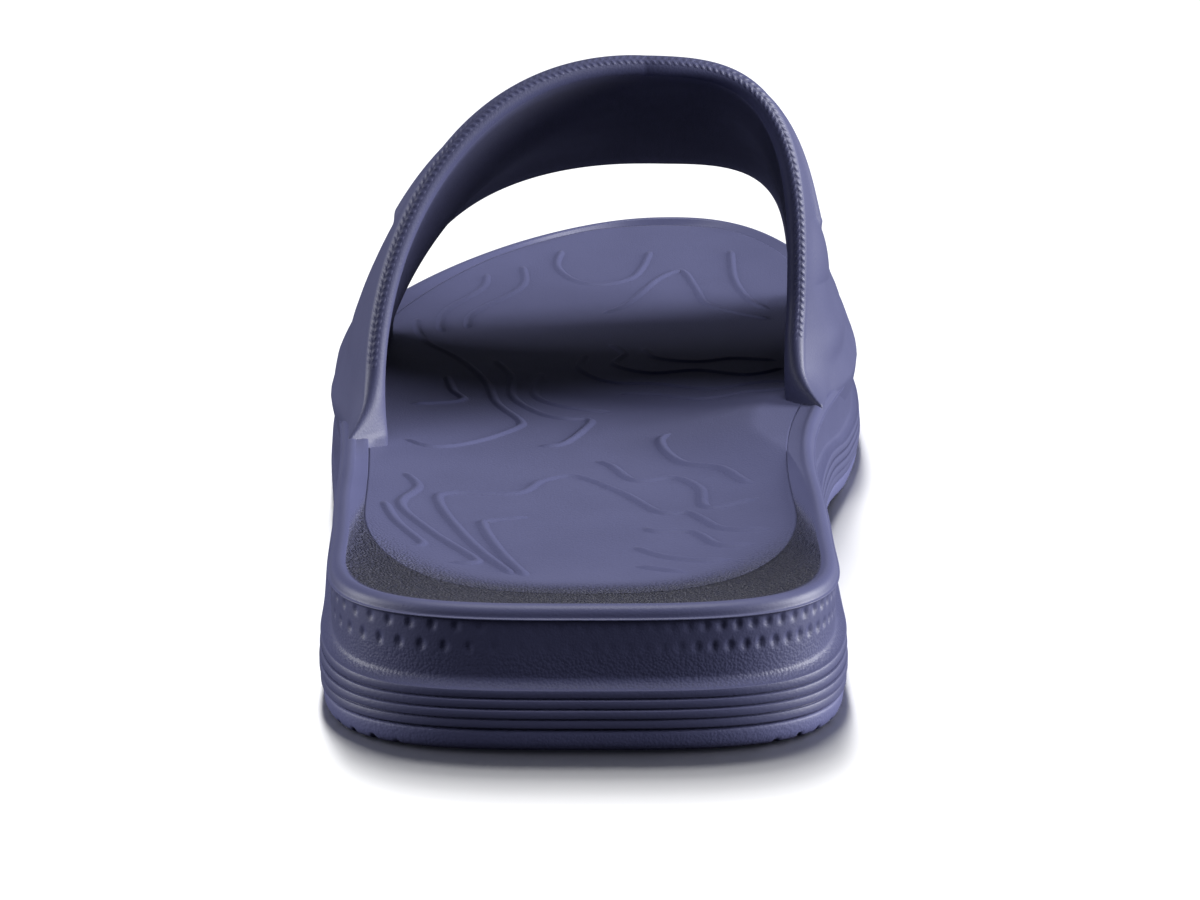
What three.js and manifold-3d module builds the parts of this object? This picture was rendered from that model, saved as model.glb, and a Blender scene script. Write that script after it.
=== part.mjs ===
// A left sport slide sandal, standing empty: a moulded midsole with a ribbed side wall and a
// beaded rim, a treaded outsole under it, a footbed laid in its cup, and one broad strap.
// Millimetres. +Z is up, +Y runs from heel to toe, +X is the medial (big toe) side.
// The origin is on the floor, under the middle of the sandal's bounding box.

import * as THREE from "three";
import Module from "manifold-3d";

const wasm = await Module();
wasm.setup();

// Driving dimensions of the sole
const soleLength = 284; // heel to toe, over the widest rib
const ballWidth = 111.5; // over the widest rib, at the ball
const rimHeight = 22; // floor to the crest of the rim, from heel to ball
const toeSpring = 13; // how far the sole's underside rises at the toe
const toeThickness = 18.2; // underside to rim at the toe's tip
const heelBevel = 0.6; // how far the underside rises at the back of the heel
const shankRise = 1.6; // how far the underside lifts between heel and ball
const heelRoundLength = 34; // the heel's round end, along the sole
const toeRoundLength = 90; // the toe's round end, along the sole
const heelSquareness = 3.2; // 2 is an ellipse, more is squarer
const toeSquareness = 2.2;
const outsoleThickness = 3.6;
const footbedThickness = 4;
const footbedDepth = 4.6; // rim crest to the footbed's middle, at the heel
const ballDepth = 4.2; // the same, at the ball
const toeDepth = 0.9; // the same, near the toe's tip
const archSupport = 3.2; // the footbed's swell on the medial side of the waist
const cupRise = 4.2; // how far the footbed curls up towards its edge
const cupHollow = 3.5; // 2 is an even curve, more keeps the curl to the edge
const footbedSideInset = 6.8; // from the widest rib to the footbed's edge, at the sides
const footbedHeelInset = 18; // the same, at the back of the heel
const footbedToeInset = 5.2; // the same, at the tip of the toe
const footbedHeelLength = 42; // the footbed's round end, along the sole
const footbedHeelSquareness = 2.3;

// Driving dimensions of the strap
const strapWall = 4.1; // at the top of the arch
const strapFootWall = 9; // where it meets the sole
const strapEdgeWall = 3.8; // along its rear edge, all the way round
const strapSwell = 24; // how far ahead of the rear edge the wall has its whole thickness
const strapRearHeight = 86.1; // floor to the outside of the arch, at the rear edge
const strapFrontHeight = 59.2; // the same, at the front edge
const strapRearTop = 132; // heel to the strap's rear edge, at the top of the arch
const strapFrontTop = 206; // heel to the strap's front edge, at the top of the arch
const strapPanelRise = 0.9; // the raised plain panel across the top
const strapFootDepth = 2.1; // rim crest to the lower edge of a foot, in the crease under the bead
const strapFootInset = 1; // from the widest rib to the outside of a foot, where the bead runs
const strapFootRound = 0.9; // rim crest to where a foot is widest
const strapFootTuck = 1; // how far the outside tucks in again at the foot's lower edge

// Clearances between pieces that are bonded together on the real sandal
const gap = 0.3;

// Side wall of the sole, from the floor up. inset is from the widest rib, up is above the underside.
const bandTop = outsoleThickness - gap;
const ribPitch = 1.5; // at the back of the heel
const ribSweep = 0.35; // share by which the pitch grows towards the sides
const ribDepth = 0.7;
const ribCount = 4;
const wallInset = 2;
const beadHeight = 2.05; // rim crest to the crease under the bead
const beadCrestInset = 3.2;

// Tread cut into the outsole
const grooveWidth = 2.6;
const grooveDepth = 1.6;
const groovePitch = 12.5;

// The outline's centre line and half width, along the sole.
// along is a share of soleLength; centre and half are shares of half the ball width.
const outlineSections = [
  { along: 0.0, centre: -0.052, half: 0.712 },
  { along: 0.12, centre: -0.058, half: 0.724 },
  { along: 0.21, centre: -0.069, half: 0.748 },
  { along: 0.3, centre: -0.08, half: 0.765 },
  { along: 0.37, centre: -0.08, half: 0.796 },
  { along: 0.44, centre: -0.069, half: 0.849 },
  { along: 0.51, centre: -0.044, half: 0.912 },
  { along: 0.58, centre: -0.024, half: 0.96 },
  { along: 0.65, centre: -0.014, half: 0.981 },
  { along: 0.74, centre: 0.015, half: 0.97 },
  { along: 0.83, centre: 0.09, half: 0.95 },
  { along: 0.92, centre: 0.19, half: 0.92 },
  { along: 1.0, centre: 0.3, half: 0.88 },
];

// The arch of the strap, section by section along the sole.
// apex and the flares, which widen the arch again towards its feet, are shares of half the ball
// width; the powers shape the outer (lateral) and inner (medial) flank.
const archSections = [
  { along: 0.34, apex: 0.14, outerPower: 1.95, outerFlare: 0.03, innerPower: 3.1, innerFlare: 0.02 },
  { along: 0.47, apex: 0.14, outerPower: 1.92, outerFlare: 0.07, innerPower: 3.2, innerFlare: 0.06 },
  { along: 0.58, apex: 0.18, outerPower: 1.84, outerFlare: 0.15, innerPower: 3.2, innerFlare: 0.16 },
  { along: 0.7, apex: 0.24, outerPower: 2.2, outerFlare: 0.13, innerPower: 3.4, innerFlare: 0.15 },
  { along: 0.78, apex: 0.28, outerPower: 2.3, outerFlare: 0.11, innerPower: 3.4, innerFlare: 0.13 },
];

// The strap's two edges, around the arch from the lateral foot (0) to the medial foot (1).
// rear and front are shares of soleLength, counted from the edge's place at the top of the arch.
const strapEdges = [
  { around: 0.0, rear: -0.125, front: -0.035 },
  { around: 0.02, rear: -0.107, front: -0.05 },
  { around: 0.06, rear: -0.096, front: -0.054 },
  { around: 0.25, rear: -0.055, front: -0.02 },
  { around: 0.5, rear: 0.0, front: 0.0 },
  { around: 0.75, rear: 0.005, front: 0.025 },
  { around: 0.95, rear: -0.001, front: 0.042 },
  { around: 0.985, rear: -0.01, front: 0.05 },
  { around: 1.0, rear: -0.032, front: 0.068 },
];

const outlineStations = 36; // on each side of the sole
const archStations = 30;

const halfBall = ballWidth / 2;

const clamp = (v, low, high) => Math.min(high, Math.max(low, v));

function smoothStep(low, high, v) {
  const t = clamp((v - low) / (high - low), 0, 1);
  return t * t * (3 - 2 * t);
}

// Reads one column of a table of sections, smoothly, at key's value v.
function tableValue(table, key, column, v) {
  const last = table.length - 1;
  if (v <= table[0][key]) return table[0][column];
  if (v >= table[last][key]) return table[last][column];
  const i = table.findIndex((row) => row[key] > v) - 1;
  const slope = (k) => {
    const a = table[Math.max(0, k - 1)];
    const b = table[Math.min(last, k + 1)];
    return (b[column] - a[column]) / (b[key] - a[key]);
  };
  const span = table[i + 1][key] - table[i][key];
  const t = (v - table[i][key]) / span;
  const h = t * t * (3 - 2 * t);
  return (
    table[i][column] * (1 - h) +
    table[i + 1][column] * h +
    span * t * (1 - t) * (slope(i) * (1 - t) - slope(i + 1) * t)
  );
}

// Plan shape of the sole, y counted from the back of the heel

const centreX = (y) => halfBall * tableValue(outlineSections, "along", "centre", y / soleLength);

// Where each outline starts and ends along the sole, and how its two ends are rounded.
const soleEnds = {
  start: 0,
  end: soleLength,
  heelLength: heelRoundLength,
  toeLength: toeRoundLength,
  heelPower: heelSquareness,
};
const footbedEnds = {
  start: footbedHeelInset,
  end: soleLength - footbedToeInset,
  heelLength: footbedHeelLength,
  toeLength: toeRoundLength - footbedToeInset,
  heelPower: footbedHeelSquareness,
};

// Share of the full width that an outline has at y, within its round ends.
function endRound(y, ends) {
  const heel = clamp((ends.start + ends.heelLength - y) / ends.heelLength, 0, 1);
  const toe = clamp((y - ends.end + ends.toeLength) / ends.toeLength, 0, 1);
  const power = heel > 0 ? ends.heelPower : toeSquareness;
  return Math.pow(1 - Math.pow(Math.max(heel, toe), power), 1 / power);
}

const fullHalf = (y) => halfBall * tableValue(outlineSections, "along", "half", y / soleLength);
const halfWidth = (y) => fullHalf(y) * endRound(y, soleEnds);
const footbedHalf = (y) => (fullHalf(y) - footbedSideInset) * endRound(y, footbedEnds);

// y of each station: close together in the round ends, even between them.
function stationRows(ends) {
  const turns = Math.round(outlineStations * 0.25);
  const middle = outlineStations - 2 * turns;
  const heelEnd = ends.start + ends.heelLength;
  const toeStart = ends.end - ends.toeLength;
  const rows = [];
  for (let i = 0; i < turns; i++) {
    rows.push(ends.start + ends.heelLength * (1 - Math.cos((i / turns) * (Math.PI / 2))));
  }
  for (let i = 0; i < middle; i++) {
    rows.push(heelEnd + ((toeStart - heelEnd) * i) / middle);
  }
  for (let i = 0; i <= turns; i++) {
    rows.push(toeStart + ends.toeLength * Math.sin((i / turns) * (Math.PI / 2)));
  }
  return rows;
}

// A closed outline, anticlockwise from the back of the heel, with outward normals.
function makeOutline(ends, halfAt) {
  const rows = stationRows(ends);
  const points = rows.map((y) => new THREE.Vector2(centreX(y) + halfAt(y), y));
  for (let i = rows.length - 2; i > 0; i--) {
    points.push(new THREE.Vector2(centreX(rows[i]) - halfAt(rows[i]), rows[i]));
  }
  return points.map((p, i) => {
    const before = points[(i + points.length - 1) % points.length];
    const after = points[(i + 1) % points.length];
    const ahead = after.clone().sub(p).normalize();
    const behind = p.clone().sub(before).normalize();
    const tangent = ahead.add(behind).normalize();
    return { x: p.x, y: p.y, nx: tangent.y, ny: -tangent.x };
  });
}

const outline = makeOutline(soleEnds, halfWidth);
const footbedOutline = makeOutline(footbedEnds, footbedHalf);

const insetPoint = (station, inset) => ({
  x: station.x - station.nx * inset,
  y: station.y - station.ny * inset,
});

// The line down the middle of the sole that the grids of its top and bottom close on.
function spinePoint(station) {
  const y = clamp(station.y, heelRoundLength, soleLength - toeRoundLength * 0.55);
  return { x: centreX(y), y };
}

// Heights of the sole

const flatHeelEnd = 0.34; // shares of soleLength: the two flat spots end and start here
const flatBallStart = 0.52;
const springStart = 0.69;

function underside(y) {
  const s = clamp(y / soleLength, 0, 1);
  const heel = heelBevel * Math.pow(clamp(1 - y / (0.6 * heelRoundLength), 0, 1), 2);
  const waist = clamp((s - flatHeelEnd) / (flatBallStart - flatHeelEnd), 0, 1);
  const shank = shankRise * Math.pow(Math.sin(waist * Math.PI), 2);
  const toe = toeSpring * Math.pow(clamp((s - springStart) / (1 - springStart), 0, 1), 1.8);
  return heel + shank + toe;
}

function rimTop(y) {
  const s = clamp(y / soleLength, 0, 1);
  const toeRise = toeSpring + toeThickness - rimHeight;
  return rimHeight + toeRise * Math.pow(clamp((s - 0.66) / (1 - 0.66), 0, 1), 1.8);
}

// The footbed's upper face: a shallow cup with a swell under the arch.
function footbedTop(x, y) {
  const s = clamp(y / soleLength, 0, 1);
  const across = clamp((x - centreX(y)) / Math.max(halfWidth(y), 1), -1, 1);
  const depth =
    footbedDepth +
    (ballDepth - footbedDepth) * smoothStep(0.3, 0.6, s) +
    (toeDepth - ballDepth) * smoothStep(0.68, 0.97, s);
  const cup = cupRise * Math.pow(Math.abs(across), cupHollow) * (1 - 0.6 * smoothStep(0.55, 0.95, s));
  const rear = cupRise * Math.pow(clamp(1 - y / (1.3 * heelRoundLength), 0, 1), 2);
  const waist = smoothStep(0.24, 0.4, s) * (1 - smoothStep(0.42, 0.58, s));
  const arch = archSupport * waist * smoothStep(0.1, 0.85, across);
  return Math.min(rimTop(y) - depth + cup + rear + arch, rimTop(y) - 0.5);
}

// Solids from grids of points

const solidFromTriangles = (positions, triangles) =>
  new wasm.Manifold(
    new wasm.Mesh({
      numProp: 3,
      vertProperties: new Float32Array(positions),
      triVerts: new Uint32Array(triangles),
    }),
  );

// Collects points and faces, merging points that coincide and dropping faces that collapse.
class Skin {
  constructor() {
    this.positions = [];
    this.triangles = [];
    this.known = new Map();
  }

  vertex(p) {
    const key = [p.x, p.y, p.z].map((v) => Math.round(v * 1000)).join(" ");
    if (!this.known.has(key)) {
      this.known.set(key, this.positions.length / 3);
      this.positions.push(p.x, p.y, p.z);
    }
    return this.known.get(key);
  }

  triangle(a, b, c) {
    const [i, j, k] = [a, b, c].map((p) => this.vertex(p));
    if (i !== j && j !== k && k !== i) this.triangles.push(i, j, k);
  }

  quad(a, b, c, d) {
    this.triangle(a, b, c);
    this.triangle(a, c, d);
  }

  solid() {
    return solidFromTriangles(this.positions, this.triangles);
  }
}

// A solid from rings of points around the sole. Its first and last rings lie on the spine.
function solidFromRings(rings) {
  const skin = new Skin();
  for (let r = 0; r + 1 < rings.length; r++) {
    const low = rings[r];
    const high = rings[r + 1];
    low.forEach((p, i) => {
      const n = (i + 1) % low.length;
      skin.quad(p, low[n], high[n], high[i]);
    });
  }
  return skin.solid();
}

// A ring at an inset from an outline, its height a function of the point.
const ringAtInset = (line, inset, height) =>
  line.map((station) => {
    const p = insetPoint(station, inset);
    return new THREE.Vector3(p.x, p.y, height(p, station));
  });

// A ring part of the way from one ring to another.
const ringBetween = (from, to, share, climb) =>
  from.map((p, i) => {
    const q = p.clone().lerp(to[i], share);
    q.z = p.z + (to[i].z - p.z) * climb;
    return q;
  });

// A ring part of the way from an inset to the spine.
const ringTowardsSpine = (line, inset, share, height) =>
  line.map((station) => {
    const from = insetPoint(station, inset);
    const to = spinePoint(station);
    const x = from.x + (to.x - from.x) * share;
    const y = from.y + (to.y - from.y) * share;
    return new THREE.Vector3(x, y, height({ x, y }, station));
  });

// Outsole

const outsoleEdge = [
  { inset: 1.9, up: 0 },
  { inset: 0.9, up: 0.5 },
  { inset: 0.55, up: 1.6 },
  { inset: 0.5, up: bandTop },
];

const lerpShares = [0.25, 0.5, 0.75, 1];

function makeOutsole() {
  const wall = outsoleEdge.map((row) =>
    ringAtInset(outline, row.inset, (p, station) => underside(station.y) + row.up),
  );
  const foot = outsoleEdge[0];
  const top = outsoleEdge[outsoleEdge.length - 1];
  const below = lerpShares.map((share) =>
    ringTowardsSpine(outline, foot.inset, share, (p) => underside(p.y)),
  );
  const above = lerpShares.map((share) =>
    ringTowardsSpine(outline, top.inset, share, (p) => underside(p.y) + bandTop),
  );
  const blank = solidFromRings([...below.reverse(), ...wall, ...above]);
  return treadGrooves().reduce((rest, groove) => rest.subtract(groove), blank);
}

// Wavy grooves across the heel and the ball, open at the edges of the outsole.
function treadGrooves() {
  const grooves = [];
  const zones = [
    [0.07, 0.33],
    [0.53, 0.93],
  ];
  for (const [from, to] of zones) {
    const count = Math.round(((to - from) * soleLength) / groovePitch);
    for (let i = 0; i <= count; i++) {
      const y = (from + ((to - from) * i) / count) * soleLength;
      grooves.push(makeGroove(y));
    }
  }
  return grooves;
}

function makeGroove(y) {
  const steps = 8;
  const wave = 3;
  const waves = 2;
  const reach = halfBall * 1.1;
  const middle = [];
  for (let i = 0; i <= steps; i++) {
    const share = i / steps;
    middle.push({
      x: -reach + 2 * reach * share,
      y: y + wave * Math.sin(share * waves * 2 * Math.PI),
    });
  }
  const skin = new Skin();
  const halfGroove = grooveWidth / 2;
  const section = middle.map((p) => {
    const floor = underside(p.y);
    return [
      new THREE.Vector3(p.x, p.y - halfGroove, floor - 3),
      new THREE.Vector3(p.x, p.y + halfGroove, floor - 3),
      new THREE.Vector3(p.x, p.y + halfGroove, floor + grooveDepth),
      new THREE.Vector3(p.x, p.y - halfGroove, floor + grooveDepth),
    ];
  });
  for (let i = 0; i < steps; i++) {
    for (let k = 0; k < 4; k++) {
      const n = (k + 1) % 4;
      skin.quad(section[i][n], section[i + 1][n], section[i + 1][k], section[i][k]);
    }
  }
  const first = section[0];
  const last = section[steps];
  skin.quad(first[3], first[2], first[1], first[0]);
  skin.quad(last[0], last[1], last[2], last[3]);
  return skin.solid();
}

// Midsole

// Lapped ribs above the outsole band, each with a full upper edge and a groove under it.
// pitches counts rib pitches up from the top of the outsole.
function ribRows() {
  const rows = [];
  for (let i = 0; i < ribCount; i++) {
    const lean = Math.abs(i - 1) * 0.14;
    rows.push({ inset: lean + ribDepth, pitches: i });
    rows.push({ inset: lean, pitches: i + 0.8 });
  }
  rows.push({ inset: wallInset - 0.5, pitches: ribCount + 0.1 });
  return rows;
}

// The ribs spread a little beside the heel and come together again towards the ball.
const ribPitchAt = (y) => {
  const beside = smoothStep(0, 0.8 * heelRoundLength, y);
  const forward = smoothStep(0.28, 0.58, y / soleLength);
  return ribPitch * (1 + ribSweep * beside * (1 - 0.8 * forward));
};

const ribTop = outsoleThickness + ribPitch * (1 + ribSweep) * ribCount;

function midsoleWall() {
  const lower = ribRows();
  const upper = [
    { inset: wallInset, down: beadHeight + 0.35 * (rimHeight - ribTop - beadHeight) },
    { inset: wallInset, down: beadHeight + 0.1 },
    { inset: wallInset - 0.45, down: beadHeight - 0.15 },
    { inset: wallInset - 0.1, down: beadHeight - 0.4 },
    { inset: wallInset + 0.1, down: 0.9 },
    { inset: wallInset + 0.5, down: 0.35 },
    { inset: beadCrestInset - 0.3, down: 0.06 },
    { inset: beadCrestInset + 0.2, down: 0 },
    { inset: beadCrestInset + 1, down: 0.25 },
  ];
  const ribHeight = (y, pitches) => underside(y) + outsoleThickness + ribPitchAt(y) * pitches;
  return [
    ...lower.map((row) =>
      ringAtInset(outline, row.inset, (p, station) => ribHeight(station.y, row.pitches)),
    ),
    ...upper.map((row) =>
      ringAtInset(outline, row.inset, (p, station) => rimTop(station.y) - row.down),
    ),
  ];
}

// Shares of the way from the bead in to the footbed, and of the way down: nearly straight.
const cupWallShares = [
  { inward: 0.3, down: 0.36 },
  { inward: 0.65, down: 0.73 },
];

function makeMidsole() {
  const wall = midsoleWall();
  const floorInset = ribDepth + 0.3;
  const below = [0, ...lerpShares].map((share) =>
    ringTowardsSpine(outline, floorInset, share, (p) => underside(p.y) + outsoleThickness),
  );
  const lip = ringAtInset(footbedOutline, -gap, (p) => footbedTop(p.x, p.y) + 0.1);
  const bead = wall[wall.length - 1];
  const slope = cupWallShares.map((row) => ringBetween(bead, lip, row.inward, row.down));
  const cup = [0, ...lerpShares].map((share) =>
    ringTowardsSpine(
      footbedOutline,
      -gap,
      share,
      (p) => footbedTop(p.x, p.y) - footbedThickness - gap,
    ),
  );
  return solidFromRings([...below.reverse(), ...wall, ...slope, lip, ...cup]);
}

// Footbed

function makeFootbed() {
  const softEdge = 0.8;
  const below = [0, ...lerpShares].map((share) =>
    ringTowardsSpine(footbedOutline, 0, share, (p) => footbedTop(p.x, p.y) - footbedThickness),
  );
  const side = ringAtInset(footbedOutline, 0, (p) => footbedTop(p.x, p.y) - 0.4);
  const above = [0, 0.12, 0.3, 0.5, 0.75, 1].map((share) =>
    ringTowardsSpine(footbedOutline, softEdge, share, (p) => footbedTop(p.x, p.y)),
  );
  return solidFromRings([...below.reverse(), side, ...above]);
}

// Strap

const archValue = (column, y) => tableValue(archSections, "along", column, y / soleLength);

// Height of the arch's outside above the floor, at its apex.
function archHeight(y) {
  const share = (y - strapRearTop) / (strapFrontTop - strapRearTop);
  const bow = 1.5 * Math.sin(clamp(share, 0, 1) * Math.PI);
  return strapRearHeight + (strapFrontHeight - strapRearHeight) * share + bow;
}

// A point of the arch's outside: around runs 0 to 1 from the lateral foot over to the medial foot.
function archPoint(around, y) {
  const angle = (1 - around) * Math.PI;
  const apex = halfBall * archValue("apex", y);
  const lateral = around < 0.5;
  const power = archValue(lateral ? "outerPower" : "innerPower", y);
  const side = lateral ? -1 : 1;
  const flare = halfBall * archValue(lateral ? "outerFlare" : "innerFlare", y);
  const foot = centreX(y) + side * (halfWidth(y) - strapFootInset - flare);
  const base = rimTop(y) - strapFootRound;
  const across = Math.pow(Math.abs(Math.cos(angle)), 2 / power);
  const up = Math.pow(Math.sin(angle), 2 / power);
  const flared = side * flare * Math.pow(1 - up, 2.5);
  return new THREE.Vector3(
    apex + (foot - apex) * across + flared,
    y,
    base + (archHeight(y) - base) * up,
  );
}

// The arch's outward direction, turned level at the feet so that they stand upright in the sole.
function archNormal(around, y) {
  const d = 0.004;
  const a = clamp(around, d, 1 - d);
  const along = archPoint(a, y + 0.5).sub(archPoint(a, y - 0.5));
  const over = archPoint(a + d, y).sub(archPoint(a - d, y));
  const normal = over.cross(along).normalize();
  normal.z *= 1 - Math.pow(Math.abs(2 * around - 1), 6);
  return normal.normalize();
}

// Shares of the strap's breadth, rear to front: in pairs where its outside steps.
const breadthShares = [0, 0.03, 0.07, 0.13, 0.145, 0.22, 0.32, 0.5, 0.68, 0.87, 0.885, 1];
const edgeTurns = 4; // steps around each rounded edge

// The strap's section as a closed loop: along is 0 at the rear edge and 1 at the front edge,
// reach is how far past that edge in wall thicknesses, level runs from -1 inside to 1 outside.
function strapLoop() {
  const turns = edgeTurns;
  const loop = breadthShares.map((along) => ({ along, reach: 0, level: 1 }));
  for (let i = 1; i < turns; i++) {
    const a = (i / turns) * Math.PI;
    loop.push({ along: 1, reach: 0.5 * Math.sin(a), level: Math.cos(a) });
  }
  for (const along of [...breadthShares].reverse()) loop.push({ along, reach: 0, level: -1 });
  for (let i = 1; i < turns; i++) {
    const a = (i / turns) * Math.PI;
    loop.push({ along: 0, reach: -0.5 * Math.sin(a), level: -Math.cos(a) });
  }
  return loop;
}

const panelFrom = 0.19; // shares around the arch where the raised panel starts and ends
const panelTo = 0.882;
const wingTo = 0.945; // and where the lower swell on the medial side, next to it, ends
const wingShare = 0.8; // of the panel's rise

function panelRise(around, along) {
  const ramp = 0.016;
  const over = smoothStep(panelFrom - ramp, panelFrom, around);
  const past = 1 - smoothStep(panelTo, panelTo + ramp, around);
  const inBand = along > 0.14 && along < 0.88 ? 1 : 0;
  const turn = clamp((around - panelTo) / (wingTo - panelTo), 0, 1) * Math.PI;
  const wing = along > 0.05 && along < 0.8 ? wingShare * Math.sin(turn) : 0;
  return strapPanelRise * (over * past * inBand + wing);
}

const wallAt = (around) =>
  strapWall + (strapFootWall - strapWall) * Math.pow(Math.abs(2 * around - 1), 3.5);

// How far the outside lies back behind the arch near the rear edge, where the wall is thinner.
const edgeTaper = (around, ahead) =>
  (wallAt(around) - strapEdgeWall) * Math.pow(clamp(1 - ahead / strapSwell, 0, 1), 1.8);

// Shares around the arch: even, with pairs where the panel's ends step up.
function archShares() {
  const shares = [panelFrom - 0.016, panelFrom, panelTo, panelTo + 0.016];
  for (let i = 0; i <= archStations; i++) {
    const share = 0.5 - 0.5 * Math.cos((i / archStations) * Math.PI);
    if (shares.every((s) => Math.abs(s - share) > 0.008)) shares.push(share);
  }
  return shares.sort((a, b) => a - b);
}

// grow swells the strap by that much on every side, to cut the pocket that it is bonded into, and
// overhang swells its feet further outwards, so that the pocket is open at the side of the sole.
function makeStrap(grow, overhang) {
  const loop = strapLoop();
  const place = (around, item) => {
    const rear = strapRearTop + soleLength * tableValue(strapEdges, "around", "rear", around);
    const front = strapFrontTop + soleLength * tableValue(strapEdges, "around", "front", around);
    const wall = wallAt(around);
    const ahead = (front - rear) * item.along;
    const round = item.reach < 0 ? strapEdgeWall : wall;
    const side = item.along * 2 - 1;
    const y = rear + ahead + item.reach * round + side * grow;
    const rise = panelRise(around, item.along) - edgeTaper(around, ahead);
    const out = rise + overhang * Math.pow(Math.abs(2 * around - 1), 8);
    const depth = ((1 - item.level) / 2) * (wall + out) - out - item.level * grow;
    return archPoint(around, y).addScaledVector(archNormal(around, y), -depth);
  };
  const rings = archShares().map((around) => loop.map((item) => place(around, item)));
  const sink = (ring, tuck) =>
    ring.map((p, i) => {
      const x = p.x + (tuck * (1 + loop[i].level)) / 2;
      return new THREE.Vector3(x, p.y, rimTop(p.y) - strapFootDepth - grow);
    });
  rings.unshift(sink(rings[0], strapFootTuck));
  rings.push(sink(rings[rings.length - 1], -strapFootTuck));
  return solidFromLoops(rings);
}

// A solid from closed loops laid one after another, with a strip of faces closing each end.
function solidFromLoops(loops) {
  const skin = new Skin();
  for (let r = 0; r + 1 < loops.length; r++) {
    loops[r].forEach((p, i) => {
      const n = (i + 1) % loops[r].length;
      skin.quad(p, loops[r + 1][i], loops[r + 1][n], loops[r][n]);
    });
  }
  const cap = (ring, first) => {
    const tip = ring.length - edgeTurns / 2;
    const at = (k) => ring[(tip + k + ring.length) % ring.length];
    for (let k = 0; k < ring.length / 2; k++) {
      if (first) skin.quad(at(k), at(k + 1), at(-k - 1), at(-k));
      else skin.quad(at(-k), at(-k - 1), at(k + 1), at(k));
    }
  };
  cap(loops[0], true);
  cap(loops[loops.length - 1], false);
  return skin.solid();
}

// The largest body of a cut solid, without the crumbs that a cut leaves along a curved edge.
const largestBody = (solid) =>
  solid.decompose().reduce((best, body) => (body.volume() > best.volume() ? body : best));

// Meshes

const pocketOverhang = 1.4;
const navy = 0x3a3b5c;
const shortestEdge = 0.01;

function addMesh(group, name, solid, finish) {
  const made = solid.simplify(shortestEdge).getMesh();
  const geometry = new THREE.BufferGeometry();
  geometry.setAttribute("position", new THREE.BufferAttribute(made.vertProperties, 3));
  geometry.setIndex(new THREE.BufferAttribute(made.triVerts, 1));
  geometry.computeVertexNormals();
  const material = new THREE.MeshStandardMaterial({ color: navy, metalness: 0, ...finish });
  const mesh = new THREE.Mesh(geometry, material);
  mesh.name = name;
  group.add(mesh);
}

const sandal = new THREE.Group();
const strap = makeStrap(0, 0);
const pocket = makeStrap(gap, pocketOverhang);

addMesh(sandal, "outsole", makeOutsole(), { roughness: 0.75 });
addMesh(sandal, "midsole", largestBody(makeMidsole().subtract(pocket)), { roughness: 0.6 });
addMesh(sandal, "footbed", largestBody(makeFootbed().subtract(pocket)), { roughness: 0.7 });
addMesh(sandal, "strap", strap, { roughness: 0.6 });

const box = new THREE.Box3().setFromObject(sandal);
const middle = box.getCenter(new THREE.Vector3());
sandal.position.set(-middle.x, -middle.y, -box.min.z);

export default sandal;
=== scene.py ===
# A left sport slide sandal seen from behind the heel: one moulded navy foam, with a beaded rim,
# lapped ribs low on its side, relief lines on the footbed and a braid along the strap's rear edge.
# Shapes are worked out in millimetres in the sole's own frame: y runs from the back of the heel
# to the toe, x to the medial side, z up from the floor. They are moved to the part's frame at the
# end, where the sandal stands on the floor round the middle of its bounding box.

import math

import bpy
import numpy as np
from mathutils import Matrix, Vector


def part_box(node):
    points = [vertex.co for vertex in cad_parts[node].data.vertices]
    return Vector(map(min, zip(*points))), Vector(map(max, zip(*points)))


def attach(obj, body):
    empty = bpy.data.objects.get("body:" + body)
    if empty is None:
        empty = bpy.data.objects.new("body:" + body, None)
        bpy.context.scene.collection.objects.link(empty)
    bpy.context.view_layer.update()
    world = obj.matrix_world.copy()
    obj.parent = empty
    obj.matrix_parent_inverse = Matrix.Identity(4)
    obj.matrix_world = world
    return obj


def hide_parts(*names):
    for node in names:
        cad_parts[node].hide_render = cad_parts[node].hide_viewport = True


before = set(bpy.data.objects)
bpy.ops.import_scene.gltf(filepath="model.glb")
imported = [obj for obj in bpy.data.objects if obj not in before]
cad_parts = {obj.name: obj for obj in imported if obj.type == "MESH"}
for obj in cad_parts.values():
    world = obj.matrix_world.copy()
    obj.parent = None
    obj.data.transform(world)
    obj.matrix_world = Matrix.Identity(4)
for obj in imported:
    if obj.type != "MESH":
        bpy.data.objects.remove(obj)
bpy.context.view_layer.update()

# The sole's sizes, as in the solids
LENGTH = 284.0
HALF_BALL = 111.5 / 2
RIM_HEIGHT = 22.0
TOE_SPRING = 13.0
TOE_THICKNESS = 18.2
HEEL_BEVEL = 0.6
SHANK_RISE = 1.6
OUTSOLE = 3.6
BAND_TOP = 3.3
RIB_PITCH = 1.5
RIB_SWEEP = 0.35
RIB_COUNT = 4
FOOTBED_DEPTH = 4.6
BALL_DEPTH = 4.2
TOE_DEPTH = 0.9
ARCH_SUPPORT = 3.2
CUP_RISE = 4.2
CUP_POWER = 3.5
FOOTBED_SIDE_INSET = 6.8
FLAT_HEEL_END = 0.34
FLAT_BALL_START = 0.52
SPRING_START = 0.69

# The two outlines: start, end, length of the heel's round end, of the toe's, and their powers
SOLE_ENDS = (0.0, LENGTH, 34.0, 90.0, 3.2, 2.2)
FOOTBED_ENDS = (18.0, LENGTH - 5.2, 42.0, 84.8, 2.3, 2.2)

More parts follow.
